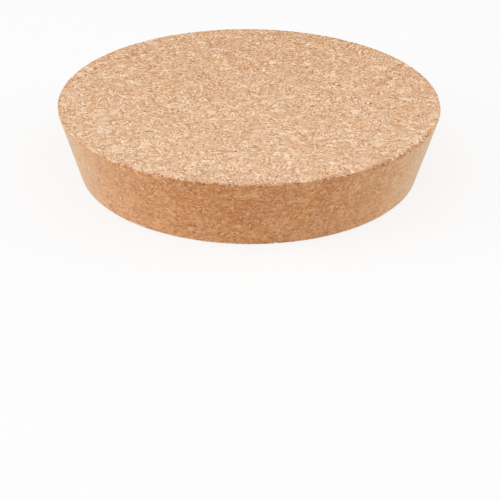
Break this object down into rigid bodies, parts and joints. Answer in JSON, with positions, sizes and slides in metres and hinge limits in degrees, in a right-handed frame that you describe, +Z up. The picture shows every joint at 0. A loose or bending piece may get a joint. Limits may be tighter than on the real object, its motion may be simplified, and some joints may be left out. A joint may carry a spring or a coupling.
{
  "type": "cork stopper",
  "caption": "Tapered disc stopper of pressed cork granules, which closes the wide mouth of a storage jar.",
  "frame": {"origin": "centre of the narrow lower face, which the stopper rests on", "axes": "+Z up the stopper's axis, from the narrow face to the wide face; X and Y lie in the lower face"},
  "size_m": [0.105, 0.105, 0.02],
  "materials": {
    "cork": "pressed cork granules, sanded and uncoated, matt"
  },
  "bodies": {
    "root": {"stopper": "cork"}
  },
  "joints": []
}
